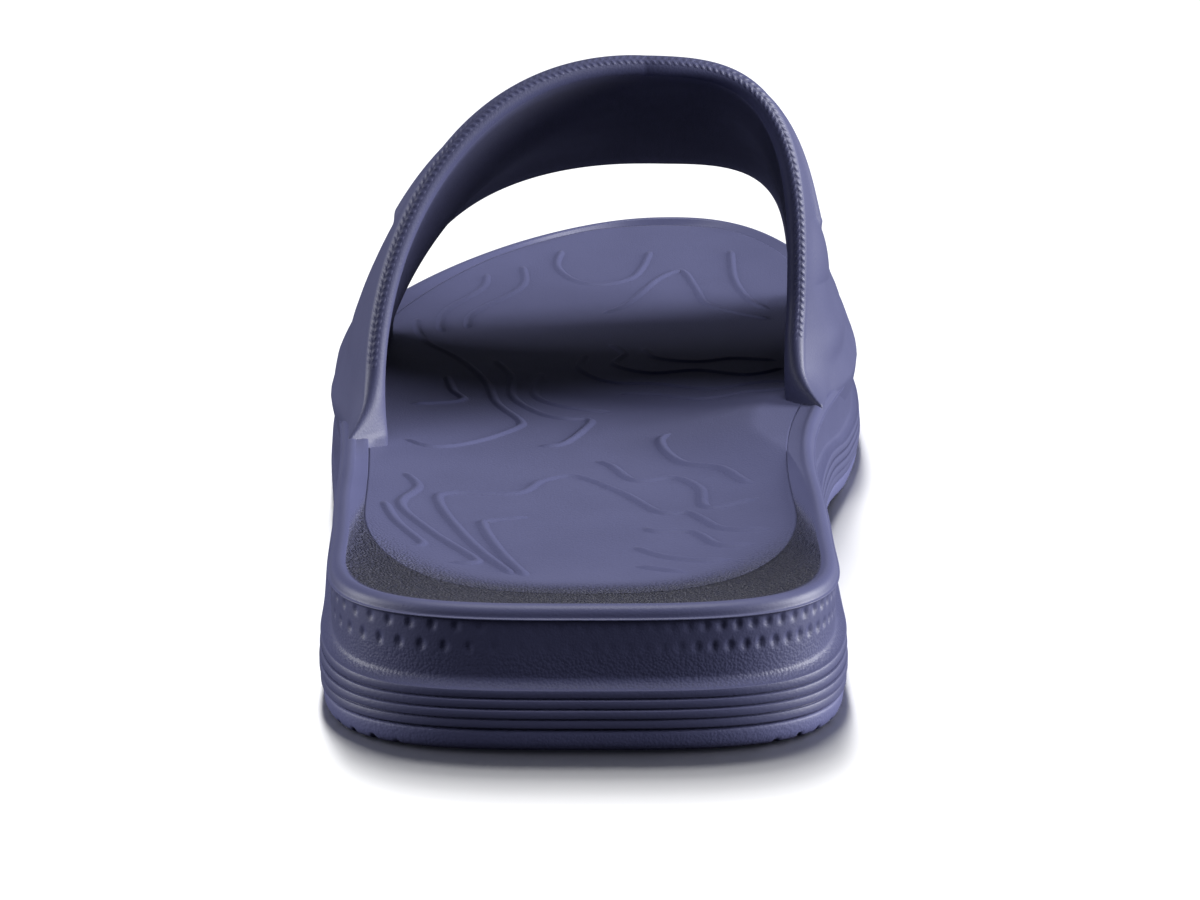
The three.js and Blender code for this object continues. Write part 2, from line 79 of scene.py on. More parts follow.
# along, centre, half width: shares of the length and of half the ball width
OUTLINE = (
    (0.0, -0.052, 0.712),
    (0.12, -0.058, 0.724),
    (0.21, -0.069, 0.748),
    (0.3, -0.08, 0.765),
    (0.37, -0.08, 0.796),
    (0.44, -0.069, 0.849),
    (0.51, -0.044, 0.912),
    (0.58, -0.024, 0.96),
    (0.65, -0.014, 0.981),
    (0.74, 0.015, 0.97),
    (0.83, 0.09, 0.95),
    (0.92, 0.19, 0.92),
    (1.0, 0.3, 0.88),
)

# The strap's sizes
STRAP_WALL = 4.1
STRAP_FOOT_WALL = 9.0
STRAP_EDGE_WALL = 3.8
STRAP_SWELL = 24.0
STRAP_REAR_HEIGHT = 86.1
STRAP_FRONT_HEIGHT = 59.2
STRAP_REAR_TOP = 132.0
STRAP_FRONT_TOP = 206.0
STRAP_BOW = 1.5
PANEL_RISE = 0.9
PANEL_FROM = 0.19
PANEL_TO = 0.882
WING_TO = 0.945
PANEL_RAMP = 0.014  # width of the step at the panel's two ends
PANEL_REAR = (0.134, 0.145)  # where the panel's rear step starts and ends, along the strap
PANEL_FRONT = (0.87, 0.883)
FOOT_INSET = 1.0
FOOT_ROUND = 0.9
BEAD_CREST = 3.5

# Where each foot of the strap runs out on the sole
SHOULDER_LENGTH = 30.0  # of the mound on the sole behind a foot
SHOULDER_AHEAD = (8, 30)  # where the mound ends under the foot
SHOULDER_DOWN = 0.35  # of its top, from the rim
SHOULDER_EDGE = (5.5, 9.5)  # in from the sole's edge, where the mound ends
FLARE_HEIGHT = 6.5  # above the rim, below which the outside runs out to the bead
FLARE_MOST = 6.0
FILLET_HEIGHT = 13.0  # above the rim, below which the rear edge runs back
FILLET_REACH = 6.0
FILLET_DEPTH = 14.0  # how far in from the rear edge the strap follows
SKIRT_DROP = 7.0  # how far below the rim the foot runs out on the wall
SKIRT_TUCK = 1.35
SKIRT_REACH = 4.0
SKIRT_SINK = 0.12  # how far the foot's edge lies under the sole's surface
SKIRT_WALL = (14, 26)  # from the rear edge, where the foot passes from the bead to the wall
SKIRT_SPREAD = 1.5
SKIRT_END = (3.0, 2.5)  # last step in and down, out of sight
SKIRT_STEPS = (0.15, 0.3, 0.45, 0.6, 0.75, 0.9, 1.0)
# Painted shade on the strap's inner face
INNER_PAINTED_SHADE = 0.7

# along, apex, outer power, outer flare, inner power, inner flare
ARCH = (
    (0.34, 0.14, 1.95, 0.03, 3.1, 0.02),
    (0.47, 0.14, 1.92, 0.07, 3.2, 0.06),
    (0.58, 0.18, 1.84, 0.15, 3.2, 0.16),
    (0.7, 0.24, 2.2, 0.13, 3.4, 0.15),
    (0.78, 0.28, 2.3, 0.11, 3.4, 0.13),
)

# around, rear edge, front edge: shares of the length
STRAP_EDGES = (
    (0.0, -0.1, -0.035),
    (0.02, -0.095, -0.05),
    (0.06, -0.089, -0.054),
    (0.25, -0.055, -0.02),
    (0.5, 0.0, 0.0),
    (0.75, 0.005, 0.025),
    (0.95, -0.001, 0.042),
    (0.985, -0.01, 0.05),
    (1.0, -0.014, 0.068),
)


def smooth(low, high, v):
    t = np.clip((v - low) / (high - low), 0, 1)
    return t * t * (3 - 2 * t)


def table_value(rows, column, v):
    """One column of a table of sections, read smoothly at v of the first column."""
    table = np.array(rows)
    keys = table[:, 0]
    values = table[:, column]
    last = len(keys) - 1
    v = np.clip(v, keys[0], keys[-1])
    i = np.clip(np.searchsorted(keys, v, side="right") - 1, 0, last - 1)

    def slope(k):
        before = np.maximum(0, k - 1)
        after = np.minimum(last, k + 1)
        return (values[after] - values[before]) / (keys[after] - keys[before])

    span = keys[i + 1] - keys[i]
    t = (v - keys[i]) / span
    h = t * t * (3 - 2 * t)
    bend = span * t * (1 - t) * (slope(i) * (1 - t) - slope(i + 1) * t)
    return values[i] * (1 - h) + values[i + 1] * h + bend


# Plan shape and heights of the sole


def centre_x(y):
    return HALF_BALL * table_value(OUTLINE, 1, y / LENGTH)


def full_half(y):
    return HALF_BALL * table_value(OUTLINE, 2, y / LENGTH)


def half_width(y):
    start, end, heel_length, toe_length, heel_power, toe_power = SOLE_ENDS
    heel = np.clip((start + heel_length - y) / heel_length, 0, 1)
    toe = np.clip((y - end + toe_length) / toe_length, 0, 1)
    power = np.where(heel > 0, heel_power, toe_power)
    return full_half(y) * (1 - np.maximum(heel, toe) ** power) ** (1 / power)


def underside(y):
    s = np.clip(y / LENGTH, 0, 1)
    heel = HEEL_BEVEL * np.clip(1 - y / (0.6 * SOLE_ENDS[2]), 0, 1) ** 2
    waist = np.clip((s - FLAT_HEEL_END) / (FLAT_BALL_START - FLAT_HEEL_END), 0, 1)
    shank = SHANK_RISE * np.sin(waist * math.pi) ** 2
    toe = TOE_SPRING * np.clip((s - SPRING_START) / (1 - SPRING_START), 0, 1) ** 1.8
    return heel + shank + toe


def rim_top(y):
    s = np.clip(y / LENGTH, 0, 1)
    toe_rise = TOE_SPRING + TOE_THICKNESS - RIM_HEIGHT
    return RIM_HEIGHT + toe_rise * np.clip((s - 0.66) / (1 - 0.66), 0, 1) ** 1.8


def footbed_top(x, y):
    s = np.clip(y / LENGTH, 0, 1)
    across = np.clip((x - centre_x(y)) / np.maximum(half_width(y), 1), -1, 1)
    depth = (
        FOOTBED_DEPTH
        + (BALL_DEPTH - FOOTBED_DEPTH) * smooth(0.3, 0.6, s)
        + (TOE_DEPTH - BALL_DEPTH) * smooth(0.68, 0.97, s)
    )
    cup = CUP_RISE * np.abs(across) ** CUP_POWER * (1 - 0.6 * smooth(0.55, 0.95, s))
    rear = CUP_RISE * np.clip(1 - y / (1.3 * SOLE_ENDS[2]), 0, 1) ** 2
    waist = smooth(0.24, 0.4, s) * (1 - smooth(0.42, 0.58, s))
    arch = ARCH_SUPPORT * waist * smooth(0.1, 0.85, across)
    return np.minimum(rim_top(y) - depth + cup + rear + arch, rim_top(y) - 0.5)


# Outlines with stations spaced by what is seen of them: fine round the heel, coarser ahead


def outline_points(ends, inset, u, side):
    """Points of an outline: u is 0 to 1 round the heel, to 2 along the side, to 3 round the toe."""
    start, end, heel_length, toe_length, heel_power, toe_power = ends
    heel_turn = np.clip(u, 0, 1) * math.pi / 2
    toe_turn = np.clip(u - 2, 0, 1) * math.pi / 2
    middle = np.clip(u - 1, 0, 1)
    heel_end = start + heel_length
    toe_start = end - toe_length
    y = np.where(
        u < 1,
        start + heel_length * (1 - np.cos(heel_turn) ** (2 / heel_power)),
        np.where(
            u < 2,
            heel_end + (toe_start - heel_end) * middle,
            toe_start + toe_length * np.sin(toe_turn) ** (2 / toe_power),
        ),
    )
    share = np.sin(heel_turn) ** (2 / heel_power) * np.cos(toe_turn) ** (2 / toe_power)
    return np.stack([centre_x(y) + side * (full_half(y) - inset) * share, y], -1)


def station_params():
    """u of the stations of one side, close together near the heel."""
    u = np.linspace(0, 3, 9001)
    points = outline_points(SOLE_ENDS, 0, u, 1)
    steps = np.linalg.norm(np.diff(points, axis=0), axis=1)
    y = (points[1:, 1] + points[:-1, 1]) / 2
    spacing = 0.34 + 0.5 * smooth(52, 75, y) + 0.6 * smooth(110, 130, y)
    count = np.concatenate([[0], np.cumsum(steps / spacing)])
    wanted = np.linspace(0, count[-1], int(count[-1]) + 1)
    return np.interp(wanted, count, u)


class Line:
    """A closed outline, anticlockwise from the back of the heel: points and outward normals."""

    REACH = 0.8  # along the outline, over which its direction is taken

    def __init__(self, ends, inset, u):
        right = outline_points(ends, inset, u, 1)
        left = outline_points(ends, inset, u, -1)
        self.p = np.concatenate([right, left[-2:0:-1]])
        self.x = self.p[:, 0]
        self.y = self.p[:, 1]
        steps = np.linalg.norm(np.roll(self.p, -1, 0) - self.p, axis=1)
        self.s = np.concatenate([[0], np.cumsum(steps)[:-1]])
        self.round = steps.sum()
        ahead = self.at(self.s + self.REACH)
        behind = self.at(self.s - self.REACH)
        tangent = ahead - behind
        tangent /= np.linalg.norm(tangent, axis=1)[:, None]
        self.n = np.stack([tangent[:, 1], -tangent[:, 0]], -1)

    def at(self, s):
        s = np.mod(s, self.round)
        knots = np.append(self.s, self.round)
        closed = np.concatenate([self.p, self.p[:1]])
        return np.stack([np.interp(s, knots, closed[:, k]) for k in (0, 1)], -1)

    def ring(self, inset, z):
        xy = self.p - self.n * np.broadcast_to(inset, self.x.shape)[:, None]
        return np.column_stack([xy, np.broadcast_to(z, self.x.shape)])


params = station_params()
sole_line = Line(SOLE_ENDS, 0, params)
footbed_line = Line(FOOTBED_ENDS, FOOTBED_SIDE_INSET, params)


def spine(line):
    """The point on the middle line that each station's ring closes on."""
    y = np.clip(line.y, SOLE_ENDS[2] + 8, LENGTH - SOLE_ENDS[3] * 0.55)
    return np.column_stack([centre_x(y), y])


def ring_inwards(ring, line, share, height):
    xy = ring[:, :2] + (spine(line) - ring[:, :2]) * share
    return np.column_stack([xy, height(xy[:, 0], xy[:, 1])])


# Meshes

cad_low = np.array(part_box("midsole")[0]) * 1000
own_low = np.array([sole_line.x.min(), sole_line.y.min(), underside(150.0) + OUTSOLE])
SHIFT = cad_low - own_low
SHIFT[2] = 0.0


def make_mesh(name, points, quads, masks):
    """An object from points in the sole's frame, in millimetres, with a float mask per point."""
    points = np.asarray(points, dtype=np.float64) + SHIFT
    quads = np.asarray(quads, dtype=np.int32)
    mesh = bpy.data.meshes.new(name)
    mesh.vertices.add(len(points))
    mesh.vertices.foreach_set("co", (points / 1000).astype(np.float32).ravel())
    mesh.loops.add(quads.size)
    mesh.loops.foreach_set("vertex_index", quads.ravel())
    mesh.polygons.add(len(quads))
    mesh.polygons.foreach_set("loop_start", np.arange(len(quads), dtype=np.int32) * 4)
    for key, values in masks.items():
        layer = mesh.attributes.new(key, "FLOAT", "POINT")
        layer.data.foreach_set("value", np.asarray(values, dtype=np.float32).ravel())
    mesh.update(calc_edges=True)
    mesh.validate()
    mesh.shade_smooth()
    obj = bpy.data.objects.new(name, mesh)
    bpy.context.scene.collection.objects.link(obj)
    return obj


def grid_quads(rows, columns, closed, first=0):
    """Faces of a grid of points kept row by row; closed joins the last column to the first."""
    last = columns if closed else columns - 1
    i, k = np.meshgrid(np.arange(rows - 1), np.arange(last), indexing="ij")
    n = (k + 1) % columns
    quads = [i * columns + k, i * columns + n, (i + 1) * columns + n, (i + 1) * columns + k]
    return np.stack(quads, -1).reshape(-1, 4) + first


def finish_piece(obj, material, slot, *nodes):
    obj.data.materials.append(material)
    if nodes:
        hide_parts(*nodes)
    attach(obj, "root")


# Midsole

# One lapped rib from its groove up: share of the pitch, and inset
RIB = (
    (0.0, 0.5),
    (0.04, 0.46),
    (0.08, 0.24),
    (0.12, 0.08),
    (0.17, 0.02),
    (0.22, 0.0),
    (0.84, 0.0),
    (0.9, 0.06),
    (0.94, 0.2),
    (0.97, 0.4),
)

# The rim's bead, from the crease under it over its crest: inset, and down from the crest
BEAD = (
    (2.0, 2.25),
    (1.96, 2.1),
    (1.74, 2.04),
    (1.58, 1.96),
    (1.52, 1.86),
    (1.56, 1.77),
    (1.72, 1.71),
    (1.84, 1.63),
    (1.9, 1.48),
    (1.95, 1.25),
    (2.03, 1.0),
    (2.14, 0.76),
    (2.32, 0.5),
    (2.58, 0.28),
    (2.95, 0.1),
    (3.35, 0.0),
    (3.7, 0.03),
    (4.0, 0.16),
    (4.25, 0.28),
)

RIB_LEAN = 0.14  # each rib's step in from the second one
RIB_GRAIN = 0.03
COVE_DEPTH = 1.2  # of the curve between the wall and the ribs
COVE_SHARE = 0.12  # of the wall's height
WALL_GRAIN = (0.02, 0.08)  # all over, and added in the wall's lower half
GRAIN_FROM = (5.5, 8.3)  # down from the crest, where the lower half's grain starts and is full

# Shares of the wall's height at which it has rings
WALL_SHARES = np.concatenate([[0, 0.012, 0.03, 0.06], np.linspace(0.1, 1, 25)[:-1]])

SLOPE_POWER = 1.12  # of the cup's wall, from the bead in to the footbed
SLOPE_SHARES = (0.03, 0.07, 0.12, 0.19, 0.27, 0.36, 0.46, 0.57, 0.69, 0.81, 0.92, 1.0)
SLOPE_GRAIN_ENDS = (22, 62)  # from the back of the heel, where the pebbles fade
# Painted shade on the pebbled wall of the cup round the heel: where it fades, and how much
SLOPE_PAINTED_SHADE_ENDS = (6, 34)
SLOPE_PAINTED_SHADE = (0.1, 0.85)  # all round the heel, and added at its back
FOOTBED_PAINTED_SHADE = (2.5, 10.0)  # in from the footbed's edge, where the painted shade fades
FOOTBED_GRAIN = (5, 4)  # breadth of the footbed's pebbled edge, and added round the heel
CUP_LIP_OUT = 0.3  # how far the cup's lip lies outside the footbed's outline
FOOTBED_OUT = 0.28  # and how far its own edge does

DIMPLE_PITCHES = (3.7, 2.5)  # on the lateral side and on the medial side
DIMPLE_ROWS = ((3.1, 0.0), (6.2, 0.5))  # down from the crest, and shift along the row
DIMPLE_DEPTH = 0.3
DIMPLE_HALF = (0.72, 0.95)  # along and up
DIMPLE_MIDDLE = (9, 24)  # from the middle of the heel, where they grow from faint to full
DIMPLE_FAINT = 0.15
DIMPLE_END = (60, 80)  # from the back of the heel, where they fade


def dimples(line, down):
    """Depth of the two staggered rows of dimples round the heel."""
    depth = np.zeros_like(line.s)
    from_heel = (line.s + line.round / 2) % line.round - line.round / 2
    growth = smooth(*DIMPLE_MIDDLE, np.abs(line.x - centre_x(line.y)))
    here = growth * (1 - DIMPLE_FAINT) + DIMPLE_FAINT
    here = here * (1 - smooth(*DIMPLE_END, line.y))
    pitch = np.where(from_heel < 0, *DIMPLE_PITCHES)
    for row_down, shift in DIMPLE_ROWS:
        place = from_heel / pitch + shift
        along = (place - np.round(place)) * pitch
        reach = (along / DIMPLE_HALF[0]) ** 2 + ((down - row_down) / DIMPLE_HALF[1]) ** 2
        depth += DIMPLE_DEPTH * here * np.clip(1 - reach, 0, 1) ** 0.8
    return depth


def heel_share(y):
    """1 round the heel, where the cup's wall is pebbled, fading to 0 towards the strap."""
    return 1 - smooth(*SLOPE_GRAIN_ENDS, y)


def painted_slope_shade(u, y):
    """How much painted shade darkens the pebbled wall of the cup: most at the back, next to the
    bead.
    """
    back = 1 - smooth(*SLOPE_PAINTED_SHADE_ENDS, y)
    near = smooth(0.0, 0.04, u)
    return near * (SLOPE_PAINTED_SHADE[0] * heel_share(y) + SLOPE_PAINTED_SHADE[1] * back)


def strap_shoulder(xy, z, rim):
    """How far the cup's wall is raised behind each foot of the strap, up to the rim."""
    from_middle = xy[:, 0] - centre_x(xy[:, 1])
    foot_rear = np.where(from_middle < 0, rear_edge(0.02), rear_edge(0.98))
    ahead = xy[:, 1] - foot_rear
    near = smooth(SHOULDER_LENGTH, 0, -ahead) * (1 - smooth(*SHOULDER_AHEAD, ahead))
    edge = half_width(xy[:, 1]) - np.abs(from_middle)
    raised = np.maximum(0, rim - SHOULDER_DOWN - z)
    return near * raised * (1 - smooth(*SHOULDER_EDGE, edge))


def rib_pitch(y):
    beside = smooth(0, 0.8 * SOLE_ENDS[2], y)
    forward = smooth(0.28, 0.58, y / LENGTH)
    return RIB_PITCH * (1 + RIB_SWEEP * beside * (1 - 0.8 * forward))


def midsole_rings():
    """Rings from the bottom up over the rim and down into the cup, with their grain masks and a
    mask of painted shade.
    """
    line = sole_line
    y = line.y
    base = underside(y) + OUTSOLE
    rim = rim_top(y)
    rings = []
    grain = []
    # painted shade on the pebbled wall of the cup, darkest at the back of the heel
    shade = []

    def add(ring, rough, painted_shade=0.0):
        rings.append(ring)
        grain.append(np.broadcast_to(rough, y.shape))
        shade.append(np.broadcast_to(painted_shade, y.shape))

    add(line.ring(5.0, base + 0.4), 0)
    for rib in range(RIB_COUNT):
        lean = abs(rib - 1) * RIB_LEAN
        for t, inset in RIB:
            add(line.ring(lean + inset, base + rib_pitch(y) * (rib + t)), RIB_GRAIN)
    low = base + rib_pitch(y) * RIB_COUNT
    high = rim - BEAD[0][1]
    for t in WALL_SHARES:
        z = low + (high - low) * t
        down = rim - z
        cove = COVE_DEPTH * max(0.0, 1 - t / COVE_SHARE) ** 1.6
        inset = BEAD[0][0] - cove + dimples(line, down)
        rough = smooth(*GRAIN_FROM, down) * (1 - 0.6 * smooth(180, 200, y))
        add(line.ring(inset, z), WALL_GRAIN[0] + WALL_GRAIN[1] * rough)
    for inset, down in BEAD:
        add(line.ring(inset, rim - down), 0)
    bead = rings[-1]
    edge = footbed_line.ring(-CUP_LIP_OUT, 0)
    lip_z = footbed_top(edge[:, 0], edge[:, 1])
    for u in SLOPE_SHARES:
        xy = bead[:, :2] + (edge[:, :2] - bead[:, :2]) * u
        drop = 1 - (1 - u) ** SLOPE_POWER
        z = bead[:, 2] + (lip_z - bead[:, 2]) * drop
        swell = strap_shoulder(xy, z, rim)
        pebbled = smooth(0.0, 0.06, u) * smooth(0.1, 0.9, heel_share(y))
        add(np.column_stack([xy, z + swell]), pebbled, painted_slope_shade(u, y))
    for drop in (0.12, 3.0):
        add(np.column_stack([edge[:, :2], lip_z - drop]), 1, painted_slope_shade(1.0, y))
    for share in (0.5, 1.0):
        floor = ring_inwards(rings[-1], footbed_line, share, lambda x, yy: footbed_top(x, yy) - 3)
        add(floor, 0)
    return np.array(rings), {"grain": np.array(grain), "shade": np.array(shade)}


def make_midsole():
    rings, masks = midsole_rings()
    quads = grid_quads(rings.shape[0], rings.shape[1], True)
    return make_mesh("midsole_skin", rings.reshape(-1, 3), quads, masks)


# Footbed

# Relief lines: x from the middle of the sandal and y from the back of the heel, in millimetres
RELIEF = (
    ((-34, 88), (-31, 79), (-33, 67), (-27, 53), (-19, 38), (-24, 37)),
    ((-36, 68), (-33, 57), (-28, 46), (-30, 45)),
    ((-11, 64), (-18, 61), (-19, 58), (-16, 45), (-11, 29)),
    ((-13, 30), (-21, 50), (-27, 71), (-25, 77), (-14, 78), (-10, 86), (-4, 89), (4, 78), (10, 66),
     (15, 65), (20, 55), (28, 52)),
    ((13, 116), (11, 111), (12, 102), (15, 94), (21, 89), (25, 80), (27, 79)),
    ((-1, 100), (2, 96), (6, 86), (13, 86), (17, 79), (18, 68), (27, 71)),
    ((7, 58), (9, 55), (15, 54), (19, 46), (25, 45)),
    ((5, 47), (10, 41), (16, 38), (21, 38)),
    ((5, 36), (14, 31)),
    ((-40, 212), (-40, 206), (-37, 194), (-29, 179), (-23, 160), (-20, 142), (-15, 128), (-16, 122),
     (-23, 112), (-30, 107), (-36, 111)),
    ((-26, 244), (-27, 234), (-34, 219), (-35, 209), (-34, 202)),
    ((-18, 250), (-18, 236), (-28, 218), (-29, 206)),
    ((-9, 261), (-10, 250), (-6, 241), (0, 238), (7, 242), (10, 250), (12, 261)),
    ((-31, 164), (-29, 151), (-27, 143), (-37, 137)),
    ((-22, 180), (-18, 165), (-17, 147), (-12, 135), (-7, 130), (-2, 129), (-3, 122), (-7, 111),
     (-12, 110)),
    ((-12, 169), (-13, 152), (-11, 144), (-5, 138), (3, 135)),
    ((0, 218), (6, 225), (13, 241), (18, 247), (20, 245), (22, 235), (24, 225), (30, 219),
     (38, 212)),
    ((31, 261), (31, 241), (34, 226), (38, 219)),
    ((2, 196), (5, 186), (3, 176), (10, 168), (20, 170), (30, 164), (38, 168)),
    ((9, 192), (12, 182), (20, 178), (28, 180), (37, 175)),
    ((-3, 186), (-4, 172), (2, 160), (12, 158), (22, 152), (32, 155), (39, 150)),
    ((3, 150), (11, 149), (20, 142), (29, 144), (38, 138)),
)
RELIEF_HALF = 1.25
RELIEF_HEIGHT = 0.48
RELIEF_FADE = 3
RELIEF_STEP = 0.7
RELIEF_SINK = 0.04


def through(points, step):
    """A smooth curve through points, with a point about every step, and its side direction."""
    p = np.array(points, dtype=float)
    p = np.concatenate([[2 * p[0] - p[1]], p, [2 * p[-1] - p[-2]]])
    out = []
    for a, b, c, d in zip(p, p[1:], p[2:], p[3:]):
        n = max(2, int(np.linalg.norm(c - b) / step))
        t = np.linspace(0, 1, n, endpoint=False)[:, None]
        out.append(
            0.5 * (2 * b + (c - a) * t + (2 * a - 5 * b + 4 * c - d) * t**2
                   + (3 * b - a - 3 * c + d) * t**3)
        )
    curve = np.concatenate(out + [p[-2:-1]])
    tangent = np.gradient(curve, axis=0)
    tangent /= np.maximum(np.linalg.norm(tangent, axis=1), 1e-9)[:, None]
    return curve, np.stack([-tangent[:, 1], tangent[:, 0]], -1)


def relief_ribbon(points):
    """A low rounded ridge laid on the footbed along a curve, fading out at both ends."""
    curve, side = through([(x - SHIFT[0], y) for x, y in points], RELIEF_STEP)
    length = np.concatenate([[0], np.cumsum(np.linalg.norm(np.diff(curve, axis=0), axis=1))])
    fade = smooth(0, RELIEF_FADE, length) * smooth(0, RELIEF_FADE, length[-1] - length)
    rows = []
    for across in np.linspace(-1, 1, 9):
        xy = curve + side * (across * RELIEF_HALF * (0.7 + 0.3 * fade))[:, None]
        lift = RELIEF_HEIGHT * math.cos(across * math.pi / 2) ** 2 * fade - RELIEF_SINK
        rows.append(np.column_stack([xy, footbed_top(xy[:, 0], xy[:, 1]) + lift]))
    return np.array(rows)[::-1]


def make_footbed():
    line = footbed_line
    edge = line.ring(-FOOTBED_OUT, 0)
    edge[:, 2] = footbed_top(edge[:, 0], edge[:, 1])
    shares = np.concatenate([[0, 0.01, 0.03], np.linspace(0.06, 1, 34)])
    rings = [edge - [0, 0, 3.0], edge - [0, 0, 0.3]]
    rings += [ring_inwards(edge, line, share, footbed_top) for share in shares]
    rings = np.array(rings)
    across = np.linalg.norm(rings[:, :, :2] - edge[None, :, :2], axis=2)
    width = FOOTBED_GRAIN[0] + FOOTBED_GRAIN[1] * (1 - smooth(30, 60, line.y))
    grain = (1 - smooth(0, 1, across / width[None, :])) * heel_share(line.y)[None, :]
    # Painted shade along the footbed's rear edge, going on from the cup's wall
    shade = painted_slope_shade(1.0, line.y)[None, :] * (1 - smooth(*FOOTBED_PAINTED_SHADE, across))
    points = [rings.reshape(-1, 3)]
    quads = [grid_quads(rings.shape[0], rings.shape[1], True)]
    masks = [np.stack([grain, shade], -1).reshape(-1, 2)]
    count = rings.shape[0] * rings.shape[1]
    for pattern in RELIEF:
        ribbon = relief_ribbon(pattern)
        points.append(ribbon.reshape(-1, 3))
        quads.append(grid_quads(ribbon.shape[0], ribbon.shape[1], False, count))
        masks.append(np.zeros((ribbon.shape[0] * ribbon.shape[1], 2)))
        count += ribbon.shape[0] * ribbon.shape[1]
    masks = np.concatenate(masks)
    named = {"grain": masks[:, 0], "shade": masks[:, 1]}
    return make_mesh("footbed_skin", np.concatenate(points), np.concatenate(quads), named)


# Outsole

GROOVE_PITCH = 12.5
GROOVE_WIDTH = 2.6
GROOVE_DEPTH = 1.6
TREAD_ZONES = ((0.07, 0.33), (0.53, 0.93))
TREAD_WAVE = 3.0
FINE_CUT_DEPTH = 0.5
LUG_PITCH = 4.4
LUG_NOTCH = 0.6

# The outsole's side, from its top down round its edge: inset, and height over the floor
OUTSOLE_EDGE = (
    (0.6, 3.2),
    (0.5, 2.9),
    (0.5, 2.4),
    (0.52, 1.9),
    (0.58, 1.4),
    (0.7, 1.0),
    (0.9, 0.62),
    (1.2, 0.3),
    (1.6, 0.1),
    (2.1, 0.0),
)


def tread_depth(x, y):
    """How far the tread is cut in: wavy grooves across, and fine ones between them."""
    depth = np.zeros(np.shape(x))
    share = np.clip((x + 1.1 * HALF_BALL) / (2.2 * HALF_BALL), 0, 1)
    wave = TREAD_WAVE * np.sin(share * 4 * math.pi)
    for low, high in TREAD_ZONES:
        count = round((high - low) * LENGTH / GROOVE_PITCH)
        for i in range(count + 1):
            middle = (low + (high - low) * i / count) * LENGTH + wave
            off = np.abs(y - middle)
            deep = GROOVE_DEPTH * (1 - smooth(GROOVE_WIDTH / 2 - 0.5, GROOVE_WIDTH / 2 + 0.4, off))
            depth = np.maximum(depth, deep)
            off = np.abs(y - middle - GROOVE_PITCH / 2)
            depth = np.maximum(depth, FINE_CUT_DEPTH * (1 - smooth(0.3, 1.0, off)))
    return depth


def make_outsole():
    line = sole_line
    under = underside(line.y)
    rings = [line.ring(6.0, under + BAND_TOP), line.ring(0.9, under + BAND_TOP)]
    lugs = smooth(0.02, 0.14, 0.5 + 0.5 * np.cos(line.s / LUG_PITCH * 2 * math.pi))
    beside = smooth(24, 34, np.abs(line.x - centre_x(line.y)) + 0.4 * line.y)
    for inset, up in OUTSOLE_EDGE:
        notch = LUG_NOTCH * (1 - lugs) * (1 - smooth(0.2, 1.3, up)) * beside
        rings.append(line.ring(inset, under + up + notch))
    foot = rings[-1]
    for share in np.concatenate([[0.03, 0.06], np.linspace(0.09, 1, 44)]):
        ring = ring_inwards(foot, line, share, lambda x, y: underside(y) + tread_depth(x, y))
        rings.append(ring)
    rings = np.array(rings)[::-1]
    grain = np.full(rings.shape[:2], 0.1)
    quads = grid_quads(rings.shape[0], rings.shape[1], True)
    return make_mesh("outsole_skin", rings.reshape(-1, 3), quads, {"grain": grain})


# Strap


def arch_height(y):
    share = (y - STRAP_REAR_TOP) / (STRAP_FRONT_TOP - STRAP_REAR_TOP)
    bow = STRAP_BOW * np.sin(np.clip(share, 0, 1) * math.pi)
    return STRAP_REAR_HEIGHT + (STRAP_FRONT_HEIGHT - STRAP_REAR_HEIGHT) * share + bow


def arch_point(around, y):
    """A point of the arch's outside, from the lateral foot (0) to the medial foot (1)."""
    angle = (1 - around) * math.pi
    s = y / LENGTH
    lateral = around < 0.5
    side = np.where(lateral, -1.0, 1.0)
    apex = HALF_BALL * table_value(ARCH, 1, s)
    power = np.where(lateral, table_value(ARCH, 2, s), table_value(ARCH, 4, s))
    flare = HALF_BALL * np.where(lateral, table_value(ARCH, 3, s), table_value(ARCH, 5, s))
    foot = centre_x(y) + side * (half_width(y) - FOOT_INSET - flare)
    base = rim_top(y) - FOOT_ROUND
    across = np.abs(np.cos(angle)) ** (2 / power)
    up = np.clip(np.sin(angle), 0, 1) ** (2 / power)
    flared = side * flare * (1 - up) ** 2.5
    x = apex + (foot - apex) * across + flared
    return np.stack([x, y, base + (arch_height(y) - base) * up], -1)


def arch_normal(around, y):
    d = 0.004
    a = np.clip(around, d, 1 - d)
    along = arch_point(a, y + 0.5) - arch_point(a, y - 0.5)
    over = arch_point(a + d, y) - arch_point(a - d, y)
    normal = np.cross(over, along)
    normal /= np.linalg.norm(normal, axis=-1)[..., None]
    normal[..., 2] *= 1 - np.abs(2 * around - 1) ** 6
    return normal / np.linalg.norm(normal, axis=-1)[..., None]


def rear_edge(around):
    return STRAP_REAR_TOP + LENGTH * table_value(STRAP_EDGES, 1, around)


def front_edge(around):
    return STRAP_FRONT_TOP + LENGTH * table_value(STRAP_EDGES, 2, around)


def wall_at(around):
    return STRAP_WALL + (STRAP_FOOT_WALL - STRAP_WALL) * np.abs(2 * around - 1) ** 3.5


def edge_taper(around, w):
    """How much thinner the strap is near its rear edge, where the wall is the same all round."""
    share = np.clip(1 - w / STRAP_SWELL, 0, 1)
    return (wall_at(around) - STRAP_EDGE_WALL) * share**1.8


# Soft folds beside the strap's feet: height, height above the rim, half breadth,
# and for a short one its middle and half length from the back of the heel
LOW_GROOVE = (0.45, 3.9, 2.0)
HIGH_RIDGE = (0.35, 8.6, 2.4)
LATERAL_BULGE = (0.9, 0.4, 2.4, 132, 15)
LATERAL_WAIST = (0.9, 8.5, 3.6, 148, 26)


def long_fold(fold, above):
    height, middle, half = fold
    return height * np.exp(-(((above - middle) / half) ** 2))


def short_fold(fold, above, y):
    height, middle, half, y_middle, y_half = fold
    return height * np.exp(-(((above - middle) / half) ** 2 + ((y - y_middle) / y_half) ** 2))


